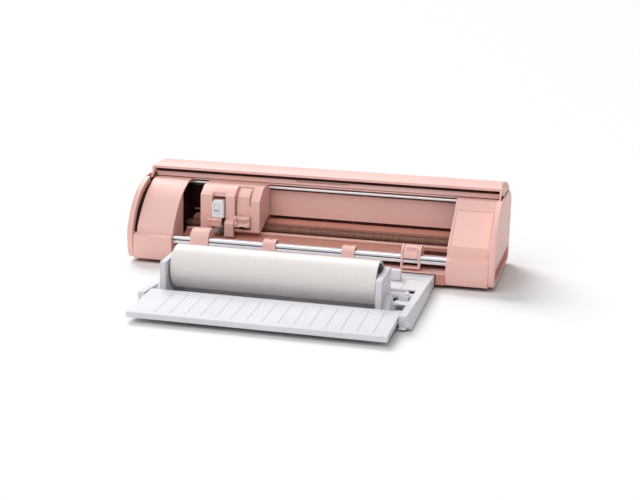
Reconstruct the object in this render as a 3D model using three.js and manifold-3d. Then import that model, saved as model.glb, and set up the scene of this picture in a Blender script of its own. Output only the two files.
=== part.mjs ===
// Desktop vinyl cutter for 12-inch media, with a roll-back lid and a pull-out roll feeder.
// Units are millimetres, +Z is up, +X runs to the right along the machine and -Y is the front.
// Every piece is drawn in the machine's own frame: x = 0 on the centre line, y = 0 on the lower
// front face and z = 0 on the desk. The group is then moved so that the origin is the middle of
// the whole footprint.

import * as THREE from 'three';
import { ConvexGeometry } from 'three/addons/geometries/ConvexGeometry.js';
import { mergeVertices } from 'three/addons/utils/BufferGeometryUtils.js';
import Module from 'manifold-3d';

const wasm = await Module();
wasm.setup();

// ---- driving dimensions ------------------------------------------------------------------------------

const HALF_WIDTH = 285;
const DEPTH = 197;
const BODY_BOTTOM = 5.5;
const GAP = 0.4;
const WALL = 2.5;

const PANEL_INNER = 276;
const COVER_OUTER = 271.5;
const SHELL_HALF = 281.7;
const HOOK_OUTER = 279.2;
const PANEL_SKIN = 282.3;
const BAY_HALF = 213;
const FRAME_INNER = 219.5;

// The lid turns about this line, which runs along X.
const LID_Y = 95;
const LID_Z = 24;
const PANEL_RADIUS = 100.5;
const LID_INNER = 96.5;
const LID_OUTER = 99.5;
const LID_LIP = 104;
const COVER_RADIUS = 95.4;
const LID_LEAD_DEG = -5;
const LID_ARC_DEG = 77;

const LEDGE_Z = 43.6;
const DECK_TOP = 24.6;
const DECK_THICK = 2;
const CHIN_UNDER = 21.2;
const CHIN_DEPTH = 20;

const ROLLER_Y = 92;
const ROLLER_Z = 48;
const ROLLER_R = 7.2;
const FEED_Y = 26.5;
const FEED_Z = 32.3;
const FEED_R = 5;
const PINCH_R = 7;
const PINCH_Z = FEED_Z + FEED_R + 0.35 + PINCH_R;

const BAR_Y = [7, 18];
const BAR_Z = [33.4, 45.2];

const RAIL_Y = [105, 113];
const RAIL_Z = [110.4, 114.6];
const BELT_R = 6;
const BELT_Y = 123;
const BELT_Z = [107.5, 112];
const PULLEY_LEFT = -240;
const PULLEY_RIGHT = 259;

const CARRIAGE_X = [-184, -88];
const CARRIAGE_FRONT = 54;

const TRAY_TOP = 22;
const TRAY_X = [-176, 197.5];
const TRAY_REAR = 0;
const TRAY_REAR_TOP = 20.2;
const TRAY_SLOPE_START = -98;
const TRAY_FRONT = -229;
const RUNNER_END = 78;
const FLAP_HINGE_Y = -213;
const FLAP_HINGE_Z = 15;
const FLAP_FRONT = -301;
const FLAP_X = [-164.5, 186.5];
const LINE_PITCH = 21;

const ROLL_Y = -154;
const ROLL_Z = 44;
const ROLL_R = 30.3;
const ROLL_WALL = 3;
const ROLL_HALF = 146;

const CENTRE_Y = (FLAP_FRONT + DEPTH) / 2;

// ---- colours -----------------------------------------------------------------------------------------

function finish(color, roughness, metalness) {
  return new THREE.MeshStandardMaterial({ color, roughness, metalness });
}

const PINK = finish(0xf2c6bf, 0.45, 0);
const PINK_DEEP = finish(0xd9a196, 0.5, 0);
const WHITE = finish(0xf1eff2, 0.45, 0);
const SILVER = finish(0xd4d6d8, 0.3, 0.9);
const DARK = finish(0x2c2523, 0.7, 0);
const GRIT = finish(0x5b4640, 0.9, 0.1);
const STEEL = finish(0x8d9094, 0.4, 0.9);
const RUBBER = finish(0x2a2a2c, 0.85, 0);
const BOARD = finish(0x2f5d43, 0.6, 0);
const VINYL = finish(0xf2efec, 0.35, 0);

// ---- geometry helpers --------------------------------------------------------------------------------

const group = new THREE.Group();

function shapeOf(points) {
  return new THREE.Shape(points.map(([u, v]) => new THREE.Vector2(u, v)));
}

// A (y, z) outline drawn out along X.
function alongX(points, x0, x1) {
  const geometry = new THREE.ExtrudeGeometry(shapeOf(points), { depth: x1 - x0, bevelEnabled: false });
  const basis = new THREE.Matrix4().makeBasis(
    new THREE.Vector3(0, 1, 0), new THREE.Vector3(0, 0, 1), new THREE.Vector3(1, 0, 0));
  geometry.applyMatrix4(basis);
  return geometry.translate(x0, 0, 0);
}

// A (y, z) outline drawn out along X, with its end edges rounded over by `round`.
function alongXRounded(points, x0, x1, round) {
  const options = {
    depth: x1 - x0 - 2 * round,
    bevelEnabled: true,
    bevelThickness: round,
    bevelSize: round,
    bevelOffset: -round,
    bevelSegments: 3,
  };
  const geometry = new THREE.ExtrudeGeometry(shapeOf(points), options);
  const basis = new THREE.Matrix4().makeBasis(
    new THREE.Vector3(0, 1, 0), new THREE.Vector3(0, 0, 1), new THREE.Vector3(1, 0, 0));
  geometry.applyMatrix4(basis);
  return geometry.translate(x0 + round, 0, 0);
}

// An (x, z) outline drawn out along Y.
function alongY(points, y0, y1) {
  const geometry = new THREE.ExtrudeGeometry(shapeOf(points), { depth: y1 - y0, bevelEnabled: false });
  const basis = new THREE.Matrix4().makeBasis(
    new THREE.Vector3(1, 0, 0), new THREE.Vector3(0, 0, 1), new THREE.Vector3(0, -1, 0));
  geometry.applyMatrix4(basis);
  return geometry.translate(0, y1, 0);
}

function box([x0, x1], [y0, y1], [z0, z1]) {
  const geometry = new THREE.BoxGeometry(x1 - x0, y1 - y0, z1 - z0);
  return geometry.translate((x0 + x1) / 2, (y0 + y1) / 2, (z0 + z1) / 2);
}

// The smallest convex solid round a list of corners.
function hull(corners) {
  return new ConvexGeometry(corners.map(([x, y, z]) => new THREE.Vector3(x, y, z)));
}

function rodX(y, z, radius, x0, x1, sides = 32) {
  const geometry = new THREE.CylinderGeometry(radius, radius, x1 - x0, sides);
  geometry.rotateZ(Math.PI / 2);
  return geometry.translate((x0 + x1) / 2, y, z);
}

function rodZ(x, y, radius, z0, z1, sides = 24) {
  const geometry = new THREE.CylinderGeometry(radius, radius, z1 - z0, sides);
  geometry.rotateX(Math.PI / 2);
  return geometry.translate(x, y, (z0 + z1) / 2);
}

function solid(geometry) {
  const bare = geometry.clone();
  bare.deleteAttribute('normal');
  bare.deleteAttribute('uv');
  const merged = mergeVertices(bare, 1e-4);
  return new wasm.Manifold(new wasm.Mesh({
    numProp: 3,
    vertProperties: new Float32Array(merged.attributes.position.array),
    triVerts: new Uint32Array(merged.index.array),
  }));
}

function surface(body) {
  const mesh = body.getMesh();
  const geometry = new THREE.BufferGeometry();
  geometry.setAttribute('position', new THREE.BufferAttribute(mesh.vertProperties, 3));
  geometry.setIndex(new THREE.BufferAttribute(mesh.triVerts, 1));
  geometry.computeVertexNormals();
  return geometry;
}

function join(...geometries) {
  return surface(geometries.map(solid).reduce((sum, next) => sum.add(next)));
}

function cut(geometry, ...tools) {
  return surface(tools.map(solid).reduce((rest, tool) => rest.subtract(tool), solid(geometry)));
}

function keep(geometry, tool) {
  return surface(solid(geometry).intersect(solid(tool)));
}

// Points on a circle round the lid's axis, at angles measured from straight up towards the front.
function lidArc(radius, fromDeg, toDeg, steps) {
  const points = [];
  for (let i = 0; i <= steps; i += 1) {
    const angle = THREE.MathUtils.degToRad(fromDeg + ((toDeg - fromDeg) * i) / steps);
    points.push([LID_Y - radius * Math.sin(angle), LID_Z + radius * Math.cos(angle)]);
  }
  return points;
}

// Closed outline of a sheet of the given thickness whose outer face follows the points.
// The sheet lies on the right-hand side of the walking direction.
function sheet(points, thickness) {
  const inner = points.map((point, i) => {
    const before = points[Math.max(i - 1, 0)];
    const after = points[Math.min(i + 1, points.length - 1)];
    const a = new THREE.Vector2(point[0] - before[0], point[1] - before[1]);
    const b = new THREE.Vector2(after[0] - point[0], after[1] - point[1]);
    const na = (a.lengthSq() ? a : b).clone().normalize();
    const nb = (b.lengthSq() ? b : a).clone().normalize();
    const side = new THREE.Vector2(na.y + nb.y, -(na.x + nb.x)).normalize();
    const reach = thickness / Math.max(side.dot(new THREE.Vector2(na.y, -na.x)), 0.5);
    return [point[0] + side.x * reach, point[1] + side.y * reach];
  });
  return [...points, ...inner.reverse()].reverse();
}

function gearOutline(radius, teeth, depth) {
  const points = [];
  const step = (2 * Math.PI) / teeth;
  for (let i = 0; i < teeth; i += 1) {
    for (const [share, side] of [[0.2, -1], [0.4, 1], [0.6, 1], [0.8, -1]]) {
      const angle = (i + share) * step;
      const reach = radius + side * depth;
      points.push([reach * Math.cos(angle), reach * Math.sin(angle)]);
    }
  }
  return points;
}

function add(name, geometry, material) {
  const mesh = new THREE.Mesh(geometry, material);
  mesh.name = name;
  mesh.position.set(0, -CENTRE_Y, 0);
  group.add(mesh);
}

function mirrored(geometry) {
  const copy = solid(geometry).mirror([1, 0, 0]);
  return surface(copy);
}

// ---- outlines shared by the casing -------------------------------------------------------------------

const FRONT_FOOT = [[4, BODY_BOTTOM + 0.3], [1.6, 9], [-0.2, 20], [-0.6, LEDGE_Z], [6.5, 46.8]];

// Left cover: one long curve from the ledge to the top.
const LEFT_CURVE = [
  ...FRONT_FOOT, [8, 54.4], [14, 64], [20.4, 73], [27.4, 81.8], [35.6, 90.4], [45, 98.8], [55, 105.8],
  [64, 111], [73, 115], ...lidArc(COVER_RADIUS, 8, -8, 4),
];

// Right cover: an upright step, then a flat slope for the control panel.
const PANEL_LOW = [10.5, 62];
const PANEL_HIGH = [72, 106.5];
const RIGHT_CURVE = [
  ...FRONT_FOOT, [8.6, 48.5], PANEL_LOW, PANEL_HIGH, ...lidArc(COVER_RADIUS, 8, -8, 3),
];

const SHELL_SEAM_FRONT = [99.5, 125.8];
const SHELL_SEAM_REAR = [DEPTH, 104];
const SHELL_TOP = 141.2;

// Top shell from the front lip to the rear seam, with a fine groove above the lip.
const SHELL_OUTER = [
  [99, 132], [97.8, 133], [97.8, 134.8], [98.8, 135.2], [98.8, 135.8], [98.2, 136.2], [100, 137],
  [110, 139.6], [120, 140.9], [130, SHELL_TOP], [145, 140], [160, 136.2], [174, 129.4], [186, 120],
  [193.4, 110.8], SHELL_SEAM_REAR,
];

// An (x, z) outline as wide as the machine, with rounded shoulders.
function arch(half, top, shoulder) {
  const right = [[half, 0]];
  for (let i = 0; i <= 6; i += 1) {
    const angle = (Math.PI / 2) * (i / 6);
    right.push([half - shoulder + shoulder * Math.cos(angle), top - shoulder + shoulder * Math.sin(angle)]);
  }
  return [...right, ...right.map(([x, z]) => [-x, z]).reverse()];
}

// ---- casing ------------------------------------------------------------------------------------------

function addBase() {
  const outer = join(
    box([-271, 271], [8.4, 194], [BODY_BOTTOM, DECK_TOP - DECK_THICK - GAP]),
    box([-212.6, 212.6], [0.6, 12], [BODY_BOTTOM, DECK_TOP - DECK_THICK - GAP]));
  const channel = box([-181, 198.9], [-5, 116], [0, 30]);
  const chinSeat = box([-212.6, 212.6], [0, CHIN_DEPTH + 1], [CHIN_UNDER - GAP, 30]);
  const pocketZ = [BODY_BOTTOM + WALL, 30];
  const rearPocket = box([-268.5, 268.5], [118.5, 191.5], pocketZ);
  const leftPocket = box([-268.5, -183.5], [11, 119], pocketZ);
  const rightPocket = box([201.4, 268.5], [11, 119], pocketZ);
  add('base_tray', cut(outer, channel, chinSeat, rearPocket, leftPocket, rightPocket), PINK_DEEP);

  const deckZ = [DECK_TOP - DECK_THICK, DECK_TOP];
  const mouth = box([-212.6, 212.6], [0, CHIN_DEPTH - 0.5], [20, 30]);
  const plate = cut(box([-271, 271], [3.4, 194], deckZ), mouth);
  const chin = [[0.6, CHIN_UNDER], [0.6, CHIN_UNDER + 0.6], [1.4, CHIN_UNDER + 1], [CHIN_DEPTH, DECK_TOP],
    [CHIN_DEPTH, deckZ[0]], [8, CHIN_UNDER]];
  add('deck', join(plate, alongX(chin, -212.6, 212.6)), PINK);

  for (const [row, y] of [['front', 34], ['rear', 174]]) {
    for (const [side, x] of [['left', -248], ['right', 248]]) {
      add(`foot_${row}_${side}`, rodZ(x, y, 9, 0, BODY_BOTTOM - 0.1, 20), RUBBER);
    }
  }
}

function endPanel() {
  const foot = [[13, BODY_BOTTOM], [6, 7.4], [1.6, 12], [-0.8, 20], [-1.8, 30]];
  const back = [[DEPTH, 12], [DEPTH - 6, BODY_BOTTOM]];
  const front = lidArc(PANEL_RADIUS, 78, -2, 16);
  const low = [...foot, ...front, [SHELL_SEAM_REAR[0], SHELL_SEAM_REAR[1] - 0.6], ...back];
  const brow = [[112, 124.2], [160, 124.2], [180, 118.6], [192, 110.4], SHELL_SEAM_REAR];
  const high = [...foot, ...front, ...brow, ...back];
  const slab = keep(alongXRounded(low, PANEL_INNER - 9, HALF_WIDTH, 4),
    box([PANEL_INNER, HALF_WIDTH + 1], [-20, 220], [0, 160]));
  const skin = keep(alongXRounded(high, PANEL_INNER - 9, HALF_WIDTH, 2),
    box([PANEL_SKIN, HALF_WIDTH + 1], [-20, 220], [0, 160]));
  const grip = box([HALF_WIDTH - 5, HALF_WIDTH + 2], [9, 190], [11, 32]);
  const hookSeat = alongX([[76, 111], [90, 112.5], [112, 119.4], [120, 122.6], [120, 130], [76, 130]],
    PANEL_INNER - 1, PANEL_SKIN);
  return cut(join(slab, skin), grip, hookSeat);
}

function addEndPanels() {
  const right = endPanel();
  add('right_end_panel', right, PINK);
  add('left_end_panel', mirrored(right), PINK);
}

// A front cover: curved skin, a wall beside the lid track and a short wall beside the bay.
function coverShell(curve, backPoint, outer) {
  const skin = alongX(sheet(curve, WALL), BAY_HALF, outer);
  const cheek = alongX([...FRONT_FOOT, [12, 46.8], [12, BODY_BOTTOM + 0.3]],
    COVER_OUTER - 0.3, PANEL_INNER - GAP);
  const frontPart = curve.filter(([y]) => y <= backPoint);
  const top = frontPart[frontPart.length - 1];
  const bayWall = alongX([...frontPart, [top[0], DECK_TOP + GAP], [3, DECK_TOP + GAP], [3, 12]],
    BAY_HALF, BAY_HALF + WALL);
  const last = curve[curve.length - 1];
  const trackWall = alongX([...curve, [last[0], DECK_TOP + GAP], [3, DECK_TOP + GAP], [3, 12]],
    COVER_OUTER - WALL, COVER_OUTER);
  const barHole = box([BAY_HALF - 1, BAY_HALF + WALL + 1], [BAR_Y[0] - 0.6, BAR_Y[1] + 0.6],
    [BAR_Z[0] - 0.6, BAR_Z[1] + 0.6]);
  const feedHole = rodX(FEED_Y, FEED_Z, FEED_R + 1, BAY_HALF - 1, BAY_HALF + WALL + 1, 24);
  return cut(join(skin, bayWall, trackWall, cheek), barHole, feedHole);
}

function addCovers() {
  add('left_cover', mirrored(coverShell(LEFT_CURVE, 55, COVER_OUTER)), PINK);

  // The control panel lies flush in a shallow pocket of the slope.
  const rise = [PANEL_HIGH[0] - PANEL_LOW[0], PANEL_HIGH[1] - PANEL_LOW[1]];
  const length = Math.hypot(...rise);
  const onSlope = (share, lift) => [
    PANEL_LOW[0] + rise[0] * share - (rise[1] / length) * lift,
    PANEL_LOW[1] + rise[1] * share + (rise[0] / length) * lift,
  ];
  const pocket = alongX(sheet([onSlope(0.02, 2), onSlope(0.98, 2)], 3.3), BAY_HALF + 3.5, PANEL_INNER - 3);
  const right = coverShell(RIGHT_CURVE, 73, PANEL_INNER - GAP);
  const seat = join(right, alongX(sheet([PANEL_LOW, PANEL_HIGH], 4), BAY_HALF + 1, PANEL_INNER - 1));
  add('right_cover', cut(seat, pocket), PINK);

  const panel = alongX(sheet([onSlope(0.026, 0), onSlope(0.974, 0)], 1), BAY_HALF + 4, PANEL_INNER - 3.5);
  add('control_panel', panel, PINK);
}

function addTopShell() {
  const full = keep(alongX([...SHELL_OUTER, SHELL_SEAM_FRONT], -SHELL_HALF, SHELL_HALF),
    alongY(arch(SHELL_HALF, SHELL_TOP + 0.2, 11), 60, 240));
  const hook = alongX([[101, 134], [97.4, 134], [91, 127], [86.5, 118.8], [92, 119.6], [101, 124.6]],
    PANEL_INNER + 0.6, HOOK_OUTER);
  const inside = alongX([
    [90, 110], [90, 132.2], [101.4, 132.6], [104, 135], [112, 136.8], [122, 137.8], [130, 138], [144, 136.8],
    [158.6, 133.2], [172, 126.8], [183.6, 117.6], [190.6, 109], [193.8, 100], [150, 90],
  ], -PANEL_INNER + GAP, PANEL_INNER - GAP);
  const hollow = cut(full, inside);
  const rib = box([-BAY_HALF, BAY_HALF], [102.4, 104.2], [129.4, 136]);
  add('top_shell', join(hollow, rib, hook, mirrored(hook)), PINK);
}

function addRearCover() {
  const seamZ = SHELL_SEAM_REAR[1] - 0.6;
  const plate = box([-PANEL_INNER + GAP, PANEL_INNER - GAP], [194.5, DEPTH], [BODY_BOTTOM, seamZ]);
  const tools = [
    box([-166, 166], [190, 200], [27, 37]),
    box([196, 224], [190, 200], [25, 37]),
    box([232, 250], [190, 200], [25, 37]),
  ];
  for (let i = 0; i < 9; i += 1) {
    tools.push(box([-250 + i * 8, -246.5 + i * 8], [190, 200], [12, 34]));
  }
  add('rear_cover', cut(plate, ...tools), PINK);
}

function addLid() {
  const lead = LID_LEAD_DEG;
  const tail = LID_LEAD_DEG - LID_ARC_DEG;
  const outline = [
    ...lidArc(LID_INNER, lead, tail, 18),
    ...lidArc(LID_OUTER, tail, lead - 4.5, 17),
    ...lidArc(LID_LIP, lead - 3.2, lead, 2),
  ];
  const skin = alongX(outline, -PANEL_INNER + 1, PANEL_INNER - 1);
  const dip = [
    ...lidArc(LID_LIP + 2, lead - 1.4, lead + 2, 3),
    ...lidArc(LID_LIP - 3.4, lead + 2, lead - 1.4, 3),
  ];
  const pull = alongX(dip, -42, 42);
  add('lid', cut(skin, pull), PINK);
}

// ---- bay: paper path and beam ------------------------------------------------------------------------

function addPaperPath() {
  const apron = [
    [32.2, 33], [43.6, 34.2], [43.6, 37.2], [44, 37.2], [44, 34.4], [52, 34.4], [52, 37.2],
    [68, 43.2], [80, 43.2], [80, 40.4], [69, 40.4], [52.6, 32], [44, 30.4], [32.2, 30.4],
  ];
  const hole = box([171, 208], [52.6, 66.8], [28, 50]);
  add('apron', cut(alongX(apron, -212.6, 212.6), hole), PINK_DEEP);
  add('cutting_strip', box([-212.4, 212.4], [44.4, 51.6], [34.8, 36.6]), WHITE);

  const notches = [];
  for (let i = -10; i <= 10; i += 1) {
    notches.push(box([i * 20.5 - 1, i * 20.5 + 1], [67, 70.6], [45.3, 48]));
  }
  const ledge = [[68, 43.6], [68, 45.6], [69, 46.6], [73, 46.6], [73.4, 45.8], [80, 45.8], [80, 43.6]];
  add('guide_strip', cut(alongX(ledge, -212.4, 212.4), ...notches), PINK);

  const rearLedge = [[100.4, 53], [100.4, 57.4], [115, 60.6], [119, 60.6], [119, 53]];
  const ramp = sheet([[117, 59], [128, 56], [160, 42], [193.6, 29.6]], 2);
  const ramped = alongX(ramp, -165, 165);
  const ribs = [];
  for (let i = -3; i <= 3; i += 1) {
    ribs.push(alongX([[122, 57], [122, 61.6], [124, 62.4], [192, 33], [192, 29.2], [160, 41.4], [128, 55.4]],
      i * 46 - 1, i * 46 + 1));
  }
  add('rear_guide', join(alongX(rearLedge, -212.4, 212.4), ramped, ...ribs), PINK_DEEP);
}

function addBeam() {
  const span = [-FRAME_INNER + GAP, FRAME_INNER - GAP];
  const web = box(span, [115, 117.4], [66, 106.8]);
  const flange = box(span, [115, 136], [66, 68.4]);
  const visorEdge = [[112, 118.4], [115.2, 117.7], [115.2, 116.9]];
  const visor = join(
    alongX([[104.4, 116.9], [104.4, 119.2], ...visorEdge], -BAY_HALF + 0.6, BAY_HALF - 0.6),
    alongX([[109, 116.9], [109, 118.9], ...visorEdge], ...span));
  const link = box([BAY_HALF + 0.6, span[1]], [113.4, 115.2], [66, 117.4]);
  add('carriage_beam', join(web, flange, visor, link, mirrored(link)), PINK);
  const rail = [[RAIL_Y[0], RAIL_Z[0] + 1], [RAIL_Y[0], RAIL_Z[1] - 1], [RAIL_Y[0] + 1, RAIL_Z[1]],
    [RAIL_Y[1], RAIL_Z[1]], [RAIL_Y[1], RAIL_Z[0]], [RAIL_Y[0] + 1, RAIL_Z[0]]];
  add('carriage_rail', alongX(rail, -226, 226), SILVER);
}

function sideFrame() {
  const outline = [[17, DECK_TOP + GAP], [17, 50], [30, 70], [60, 92], [75, 102], [96, 108], [114.4, 108],
    [114.4, 106.4], [140, 102], [158, 84], [168, 56], [172, 34], [172, DECK_TOP + GAP]];
  const plate = alongX(outline, FRAME_INNER, FRAME_INNER + WALL);
  return cut(plate,
    rodX(ROLLER_Y, ROLLER_Z, 7.3, FRAME_INNER - 1, FRAME_INNER + 4),
    rodX(FEED_Y, FEED_Z, 3.3, FRAME_INNER - 1, FRAME_INNER + 4, 24),
    box([FRAME_INNER - 1, FRAME_INNER + 4], [114.6, 118], [65.6, 107.2]));
}

function addSideFrames() {
  const right = sideFrame();
  add('right_side_frame', right, STEEL);
  add('left_side_frame', mirrored(right), DARK);
  const ring = cut(rodX(ROLLER_Y, ROLLER_Z, 7, 217.6, 223.4), rodX(ROLLER_Y, ROLLER_Z, 4.3, 216, 225));
  add('right_bearing', ring, STEEL);
  add('left_bearing', mirrored(ring), STEEL);
}

// ---- media drive -------------------------------------------------------------------------------------

const GEAR_TEETH = 48;
const PINION_TEETH = 12;
const GEAR_R = 19.2;
const PINION_R = GEAR_R * (PINION_TEETH / GEAR_TEETH);
const TOOTH = 0.7;

function addMediaDrive() {
  const core = join(
    rodX(ROLLER_Y, ROLLER_Z, ROLLER_R, -216.8, 216.8),
    rodX(ROLLER_Y, ROLLER_Z, 4, -224.5, 244),
    rodX(ROLLER_Y, ROLLER_Z, ROLLER_R, 234, 240, 24));
  add('grit_roller', core, GRIT);

  const gear = alongX(gearOutline(GEAR_R, GEAR_TEETH, TOOTH), 226, 231).translate(0, ROLLER_Y, ROLLER_Z);
  add('roller_gear', cut(gear, rodX(ROLLER_Y, ROLLER_Z, 4.3, 225, 232)), WHITE);

  add('feed_roller', join(
    rodX(FEED_Y, FEED_Z, FEED_R, -212, 212, 24),
    rodX(FEED_Y, FEED_Z, 3, -222, 243, 20),
    rodX(FEED_Y, FEED_Z, FEED_R, 234, 240, 24)), RUBBER);

  // The timing belt runs round both pulleys, with a hair of air under it.
  const dy = ROLLER_Y - FEED_Y;
  const dz = ROLLER_Z - FEED_Z;
  const reach = Math.hypot(dy, dz);
  const tilt = Math.atan2(dz, dy);
  const lean = Math.acos((ROLLER_R - FEED_R) / reach);
  const loop = (extra) => {
    const points = [];
    const turns = [[FEED_Y, FEED_Z, FEED_R, tilt + lean, tilt + 2 * Math.PI - lean],
      [ROLLER_Y, ROLLER_Z, ROLLER_R, tilt - lean, tilt + lean]];
    for (const [y, z, r, from, to] of turns) {
      for (let i = 0; i <= 10; i += 1) {
        const angle = from + ((to - from) * i) / 10;
        points.push([y + (r + extra) * Math.cos(angle), z + (r + extra) * Math.sin(angle)]);
      }
    }
    return points;
  };
  add('feed_belt', cut(alongX(loop(1.7), 234.4, 239.6), alongX(loop(0.4), 234, 240)), RUBBER);

  // The motor sits behind and above the gear, its pinion in mesh on the same plane.
  const centre = GEAR_R + PINION_R + 0.15;
  const slant = THREE.MathUtils.degToRad(40);
  const motorY = ROLLER_Y + centre * Math.cos(slant);
  const motorZ = ROLLER_Z + centre * Math.sin(slant);
  const step = (2 * Math.PI) / GEAR_TEETH;
  const nextTooth = (Math.ceil(slant / step - 0.5) + 0.5) * step;
  const phase = slant + Math.PI - (nextTooth - slant) * (GEAR_TEETH / PINION_TEETH);
  const pinion = alongX(gearOutline(PINION_R, PINION_TEETH, TOOTH), 226.4, 230.6);
  pinion.rotateX(phase).translate(0, motorY, motorZ);
  add('motor_pinion', cut(pinion, rodX(motorY, motorZ, 1.8, 226, 232, 16)), STEEL);
  const can = join(rodX(motorY, motorZ, 14, 236, 251, 28), rodX(motorY, motorZ, 1.5, 226.8, 237, 16),
    rodX(motorY, motorZ, 5, 233, 237, 20));
  add('media_motor', can, STEEL);
}

// ---- pinch bar and its housings ----------------------------------------------------------------------

function addPinchBar() {
  const groove = 1.6;
  const middle = (BAR_Z[0] + BAR_Z[1]) / 2;
  const outline = [
    [BAR_Y[0], BAR_Z[0] + 1.2], [BAR_Y[0], middle - 1.2], [BAR_Y[0] + groove, middle - 0.7],
    [BAR_Y[0] + groove, middle + 0.7], [BAR_Y[0], middle + 1.2], [BAR_Y[0], BAR_Z[1] - 1.6],
    [BAR_Y[0] + 1.6, BAR_Z[1]], [BAR_Y[1], BAR_Z[1]], [BAR_Y[1], BAR_Z[0]], [BAR_Y[0] + 1.2, BAR_Z[0]],
  ];
  add('pinch_bar', alongX(outline, -215.2, 215.2), SILVER);
}

const BAR_CLEAR = [[BAR_Y[0] - 0.3, BAR_Y[1] + 0.3], [BAR_Z[0] - 0.3, BAR_Z[1] + 0.3]];
const AXLE_R = 1.6;

const HOOD_TOP = [[4.7, 45.4], [6.6, 50.2], [11.2, 54.6], [18, 57.4], [26.5, 58], [33.4, 55.8], [36.6, 50.8]];

function pinchHood(x0, x1) {
  const outer = [...HOOD_TOP, [36.6, 42.4], [18.5, 42.4], [18.5, 31.8], [4.7, 31.8]];
  const cavity = [[18.9, 30], [18.9, 50], [20.9, 53], [26.5, 54.4], [32.1, 53], [34.3, 50], [34.3, 30]];
  return cut(alongX(outer, x0, x1),
    box([x0 - 1, x1 + 1], ...BAR_CLEAR),
    alongX(cavity, x0 + 2.4, x1 - 2.4),
    rodX(FEED_Y, PINCH_Z, AXLE_R + 0.3, x0 - 1, x1 + 1, 20));
}

function pinchGuard(x0, x1) {
  const cheek = [...HOOD_TOP, [36.6, 42.4], [18.5, 42.4], [18.5, 30], [8, 25.6], [4.7, 25.6]];
  const opening = [[0, 28.8], [0, 48], [8, 60], [16, 64], [42, 64], [42, 28.8]];
  const bridge = box([x0, x1], [29.5, 33.5], [52.6, 55.6]);
  const guard = cut(alongX(cheek, x0, x1),
    alongX(opening, x0 + 3, x1 - 3),
    box([x0 - 1, x1 + 1], ...BAR_CLEAR),
    rodX(FEED_Y, PINCH_Z, AXLE_R + 0.3, x0 - 1, x1 + 1, 20));
  return join(guard, bridge);
}

function pinchWheel(x0, x1, hubX0, hubX1) {
  return join(rodX(FEED_Y, PINCH_Z, PINCH_R, x0, x1, 28), rodX(FEED_Y, PINCH_Z, AXLE_R, hubX0, hubX1, 20));
}

const LEFT_PINCH = [-184, -155];
const RIGHT_PINCH = [145, 174];

function addPinchHousings() {
  add('left_pinch_housing', pinchHood(...LEFT_PINCH), PINK);
  add('left_pinch_wheel', pinchWheel(-179, -160, -183.6, -155.4), RUBBER);

  add('right_pinch_housing', pinchGuard(...RIGHT_PINCH), PINK);
  add('right_pinch_wheel', pinchWheel(152, 167, 145.4, 173.6), RUBBER);

  // The lever plate covers the bar inside the guard and lifts the wheel off the media.
  const plate = sheet([[5.1, 40.8], [5.1, 46], [7.6, 50.4], [11.8, 54], [17.4, 56.4], [24.4, 57.4]], 1.6);
  add('pinch_lever', alongX(plate, RIGHT_PINCH[0] + 3.6, RIGHT_PINCH[1] - 3.6), PINK);

  for (const [name, x] of [['left_bar_clip', -68], ['right_bar_clip', 55]]) {
    const clip = sheet([[18.4, 32], [6, 32], [4.8, 33.2], [4.8, 45], [7.4, 48.2], [12.4, 50], [21.5, 50],
      [23.6, 48], [23.6, 45]], 1.4);
    add(name, cut(alongX(clip, x, x + 20), box([x - 1, x + 21], ...BAR_CLEAR)), PINK);
  }
}

// ---- carriage ----------------------------------------------------------------------------------------

function addCarriage() {
  const [x0, x1] = CARRIAGE_X;
  const front = CARRIAGE_FRONT;
  const side = [[front, 49.4], [front, 104], [71, 115.4], [84, 117.6], [102, 118], [104, 116.5], [115, 116.5],
    [115, 110], [113.4, 110], [113.4, 115], [104.4, 115], [104.4, 110], [111, 110], [111, 66], [84, 59.4],
    [84, 57.4], [62, 49.4]];
  const block = alongX(side, x0, x1);
  const toolBay = box([-165, -143], [front - 2, 74], [40, 101.4]);
  const brow = box([-165, -143], [front - 2, 60.5], [100, 112]);
  const plateBay = box([-128.6, -102], [front - 2, 66], [52.4, 112]);
  const opening = [[front - 2, 100], [front - 2, 120], [78, 120], [78, 112], [66, 104]];
  const plateTop = alongX(opening, -128.6, -102);
  const inner = box([x0 + 3, x1 - 3], [76, 108.4], [69, 107.6]);
  const openBack = box([x0 + 3, x1 - 3], [100, 112], [69, 100]);
  const rightChamfer = alongX([[front - 1, 98], [front - 1, 120], [80, 120]], -102.01, x1 + 1);
  const recesses = [toolBay, brow, plateBay, plateTop, inner, openBack, rightChamfer];
  add('carriage_housing', cut(block, ...recesses), PINK);

  const cover = [[front - 0.6, 66], [front - 0.6, 39.6], [50, 39.6], [46, 42], [46, 53.2],
    [46.8, 53.2], [46.8, 53.9], [46, 53.9], [46, 61.6], [50, 66]];
  add('tool_gear_cover', alongX(cover, -142.6, -128), PINK);
}

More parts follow.
